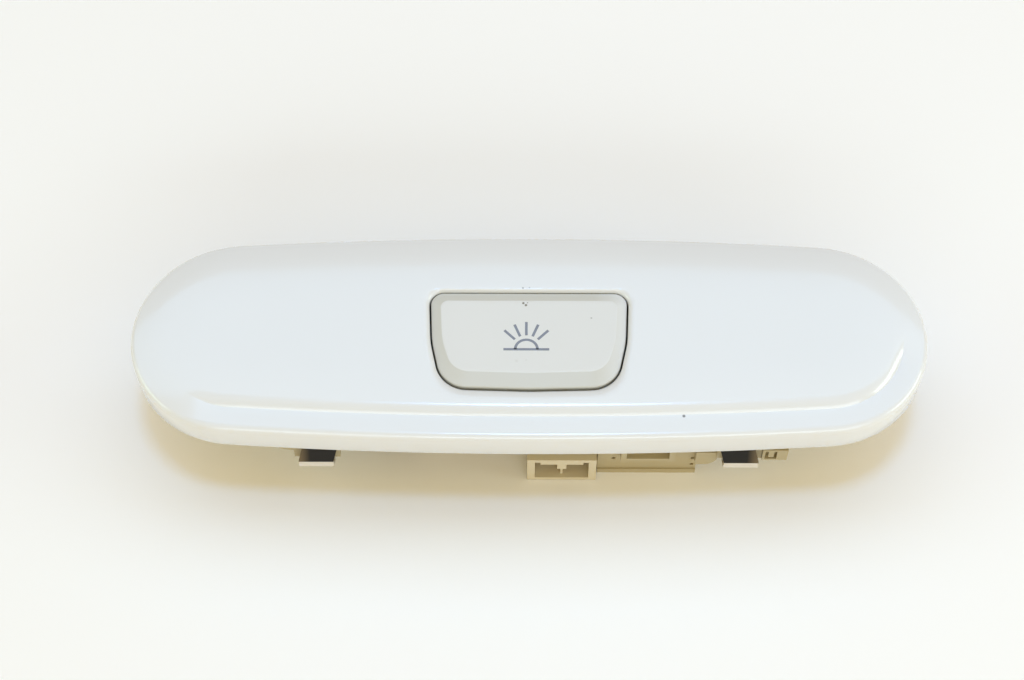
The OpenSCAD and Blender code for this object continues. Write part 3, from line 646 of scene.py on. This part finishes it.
def board_finish():
    """Green solder mask with fine tracks in relief."""
    finish = Finish("solder mask", coat_weight=0.3, coat_roughness=0.15)
    tracks = finish.node("TexBrick", {"offset": 0.5, "squash": 1.0},
                         {"Vector": finish.place(), "Scale": 190.0, "Mortar Size": 0.09,
                          "Mortar Smooth": 0.2, "Brick Width": 0.9, "Row Height": 0.33}, output="Fac")
    finish.feed(base_color=finish.tint(tracks, plain(22, 84, 48), plain(46, 120, 70)),
                roughness=0.35 + finish.noise(200.0) * 0.15)
    finish.bump(tracks, 0.3, 0.03)
    return finish


# The plastics by slot: name, two tones, roughness, and the scale and depth of the grain.
PLASTICS = {
    "dark_plastic": ("dark moulding", (52, 52, 53), (64, 64, 65), 0.5, 900.0, 0.05),
    # Partly painted shade: the housing's cream is darkened for the dim light under the cover.
    "housing_plastic": ("cream housing", (172, 158, 122), (182, 169, 134), 0.48, 700.0, 0.05),
    "reflector_plastic": ("white reflector", (242, 242, 240), (247, 247, 245), 0.22, 500.0, 0.02),
    "plunger_plastic": ("pale plunger", (222, 222, 220), (230, 230, 228), 0.35, 800.0, 0.02),
    # Partly painted shade: the connector's cream is darkened for the dim light under the cover.
    "connector_plastic": ("cream connector", (204, 192, 163), (213, 202, 174), 0.4, 800.0, 0.03),
    "component_resin": ("black resin", (24, 24, 25), (34, 34, 35), 0.55, 1100.0, 0.04),
}
FINISHES = {
    slot: moulded(name, plain(*low), plain(*high), roughness, grain, depth)
    for slot, (name, low, high, roughness, grain, depth) in PLASTICS.items()
}
FINISHES.update({
    "cover_plastic": cover_finish(),
    "button_plastic": button_finish(),
    "clear_plastic": clear_finish("clear guide", plain(232, 240, 243), plain(240, 246, 248)),
    "board_laminate": board_finish(),
    "diode_resin": clear_finish("diode resin", plain(238, 226, 150), plain(246, 238, 176)),
    "plated_steel": metal("zinc plating", plain(196, 198, 202), 0.28),
    "contact_metal": metal("tinned contact", plain(206, 200, 186), 0.25),
    "spring_steel": spring_finish(),
    "capacitor_can": metal("drawn can", plain(206, 209, 213), 0.3),
})


def dress_nodes():
    """Gives each solid the finish of its slot in the record."""
    slots = {part["node"]: part["material_slot"] for part in frame["record"]["subparts"]}
    for name, node in frame["nodes"].items():
        for slot in node.material_slots:
            slot.material = FINISHES[slots[name]].material


def paint(piece, finish):
    piece.data.materials.clear()
    piece.data.materials.append(finish.material)


# Symbol on the button

SYMBOL_AT = (-0.55, -4.6)
STROKE = 0.56
STROKE_CORNER = 0.22
PRINT_T = 0.03
PRINT_SINK = 0.005
HORIZON_HALF = 4.85
SUN_R = 2.35
SUN_STEPS = 36
RAY_START = 3.45
RAY_END = 6.6
MIDDLE_RAY_END = 6.75
RAY_TURNS = (-45, -22.5, 0, 22.5, 45)
PRINT_SMOOTH = 40


def bar(start, end, width):
    """A flat bar of the print between two points."""
    deselect()
    a, b = Vector(start), Vector(end)
    middle = (a + b) / 2
    turn = math.atan2(b.y - a.y, b.x - a.x)
    bpy.ops.mesh.primitive_cube_add(size=1, location=(middle.x, middle.y, 0), rotation=(0, 0, turn))
    piece = bpy.context.object
    piece.scale = ((b - a).length, width, PRINT_T)
    bpy.ops.object.transform_apply(location=True, rotation=True, scale=True)
    bpy.ops.object.mode_set(mode="EDIT")
    mesh = bmesh.from_edit_mesh(piece.data)
    for edge in mesh.edges:
        upright = abs(edge.verts[0].co.z - edge.verts[1].co.z) > PRINT_T / 2
        edge.select_set(upright)
    mesh.select_flush_mode()
    bmesh.update_edit_mesh(piece.data)
    bpy.ops.mesh.bevel(offset=width * STROKE_CORNER, segments=3, affect="EDGES")
    bpy.ops.object.mode_set(mode="OBJECT")
    return piece


def half_ring(radius, width):
    """The sun's half circle: a small upright face spun through half a turn."""
    deselect()
    bpy.ops.mesh.primitive_plane_add(size=1, location=(radius, 0, 0), rotation=(math.pi / 2, 0, 0))
    piece = bpy.context.object
    piece.scale = (width, PRINT_T, 1)
    bpy.ops.object.transform_apply(location=True, rotation=True, scale=True)
    bpy.ops.object.mode_set(mode="EDIT")
    bpy.ops.mesh.select_all(action="SELECT")
    bpy.ops.mesh.spin(steps=SUN_STEPS, dupli=False, angle=-math.pi, center=(0, 0, 0), axis=(0, 0, 1))
    bpy.ops.mesh.select_all(action="SELECT")
    bpy.ops.mesh.remove_doubles(threshold=0.0001)
    bpy.ops.mesh.normals_make_consistent(inside=False)
    bpy.ops.object.mode_set(mode="OBJECT")
    return piece


def make_symbol():
    """The grey print: a rising sun with five rays over its horizon."""
    parts = [bar((-HORIZON_HALF, 0), (HORIZON_HALF, 0), STROKE), half_ring(SUN_R, STROKE)]
    for degrees in RAY_TURNS:
        way = Vector((math.sin(math.radians(degrees)), math.cos(math.radians(degrees))))
        end = MIDDLE_RAY_END if degrees == 0 else RAY_END
        parts.append(bar(way * RAY_START, way * end, STROKE))
    deselect()
    for part in parts:
        part.select_set(True)
    bpy.context.view_layer.objects.active = parts[0]
    bpy.ops.object.join()
    symbol = parts[0]
    symbol.name = symbol.data.name = "symbol_print"
    height = BUTTON_TOP + PRINT_T / 2 - PRINT_SINK
    symbol.data.transform(Matrix.Translation((*SYMBOL_AT, height)))
    to_metres(symbol)
    smooth(symbol, PRINT_SMOOTH)
    finish = Finish("grey print")
    ink = finish.tint(finish.noise(900.0, 3.0), plain(122, 127, 138), plain(134, 139, 150))
    finish.feed(base_color=ink, roughness=0.5 + finish.noise(400.0) * 0.1)
    paint(symbol, finish)
    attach(symbol, "button")


dress_nodes()
paint(make_cover(), FINISHES["cover_plastic"])
paint(make_button(), FINISHES["button_plastic"])
make_symbol()


# Table, light and camera

TABLE_SIZE = 6.0


def make_floor():
    deselect()
    bpy.ops.mesh.primitive_plane_add(size=TABLE_SIZE)
    floor = bpy.context.object
    floor.name = "table_top"
    finish = Finish("pale table", roughness=0.9)
    finish.feed(base_color=finish.tint(finish.noise(6.0), plain(246, 246, 245), plain(248, 248, 248)))
    paint(floor, finish)


def area_light(name, place, target, size, power, color):
    light = bpy.data.lights.new(name, "AREA")
    light.shape = "RECTANGLE"
    light.size, light.size_y = size
    light.energy = power
    light.color = color
    lamp = bpy.data.objects.new(name, light)
    bpy.context.scene.collection.objects.link(lamp)
    lamp.location = place
    lamp.rotation_euler = (Vector(target) - Vector(place)).to_track_quat("-Z", "Y").to_euler()


# The room: cool lamps above and behind, and a dim warm glow from all round, which the shadow shows.
# Each lamp has its place, width and depth in metres, power in watts and colour.
LAMPS = {
    "overhead": ((0.02, -0.03, 1.1), (0.16, 0.16), 3.3, (0.21, 0.48, 0.95)),
    "back": ((0.0, 0.45, 0.95), (2.4, 0.7), 9.6, (0.33, 0.575, 0.89)),
    "left_side": ((-0.9, -0.1, 0.35), (0.6, 0.3), 1.8, (0.75, 1.0, 0.86)),
    "right_side": ((0.9, -0.1, 0.35), (0.6, 0.3), 2.6, (0.83, 1.0, 0.95)),
    "front_strip": ((0.15, -0.85, 0.42), (1.3, 0.28), 4.3, (0.74, 0.89, 1.0)),
}
LAMP_AIM = (0.0, 0.0, 0.02)
ROOM_COLOUR = (1.0, 0.58, 0.02, 1.0)
ROOM_LEVEL = 0.56
BACKDROP_COLOUR = (0.93, 0.95, 0.96, 1.0)


def make_lights():
    for name, (place, size, watts, colour) in LAMPS.items():
        area_light(name, place, LAMP_AIM, size, watts, colour)
    world = bpy.data.worlds.new("room")
    world.use_nodes = True
    nodes, links = world.node_tree.nodes, world.node_tree.links
    glow = nodes["Background"]
    glow.inputs["Color"].default_value = ROOM_COLOUR
    glow.inputs["Strength"].default_value = ROOM_LEVEL
    backdrop = nodes.new("ShaderNodeBackground")
    backdrop.inputs["Color"].default_value = BACKDROP_COLOUR
    backdrop.inputs["Strength"].default_value = 1.0
    path = nodes.new("ShaderNodeLightPath")
    seen = path.outputs["Is Camera Ray"]
    for ray in ("Is Glossy Ray", "Is Transmission Ray"):
        either = nodes.new("ShaderNodeMath")
        either.operation = "MAXIMUM"
        links.new(seen, either.inputs[0])
        links.new(path.outputs[ray], either.inputs[1])
        seen = either.outputs[0]
    mixed = nodes.new("ShaderNodeMixShader")
    links.new(seen, mixed.inputs[0])
    links.new(glow.outputs[0], mixed.inputs[1])
    links.new(backdrop.outputs[0], mixed.inputs[2])
    links.new(mixed.outputs[0], nodes["World Output"].inputs["Surface"])
    bpy.context.scene.world = world


# The photograph's view, fitted to the cover's outline. Distance and aim are in millimetres, and the
# lens's length and the picture's width in pixels.
CAMERA_TILT = math.radians(59)
CAMERA_YAW = math.radians(-0.5)
CAMERA_ROLL = math.radians(0.26)
CAMERA_DISTANCE = 409.4
CAMERA_AIM = Vector((-3.61, 2.94, 20.0))
LENS_PIXELS = 1885
PICTURE_PIXELS = 1024
SENSOR_WIDTH = 36.0


def make_camera():
    tilt, yaw, roll = CAMERA_TILT, CAMERA_YAW, CAMERA_ROLL
    data = bpy.data.cameras.new("camera")
    data.sensor_width = SENSOR_WIDTH
    data.lens = SENSOR_WIDTH * LENS_PIXELS / PICTURE_PIXELS
    data.clip_start, data.clip_end = 0.01, 20
    camera = bpy.data.objects.new("camera", data)
    bpy.context.scene.collection.objects.link(camera)
    right = Vector((1, 0, 0))
    up = Vector((0, math.sin(tilt), math.cos(tilt)))
    forward = Vector((0, math.cos(tilt), -math.sin(tilt)))
    turned_right = right * math.cos(roll) - up * math.sin(roll)
    turned_up = right * math.sin(roll) + up * math.cos(roll)
    basis = Matrix((turned_right, turned_up, -forward)).transposed().to_4x4()
    place = Matrix.Translation((CAMERA_AIM - forward * CAMERA_DISTANCE) * MM)
    camera.matrix_world = Matrix.Rotation(-yaw, 4, "Z") @ place @ basis
    bpy.context.scene.camera = camera


make_floor()
make_lights()
make_camera()
bpy.context.scene.view_settings.view_transform = "Standard"

deselect()
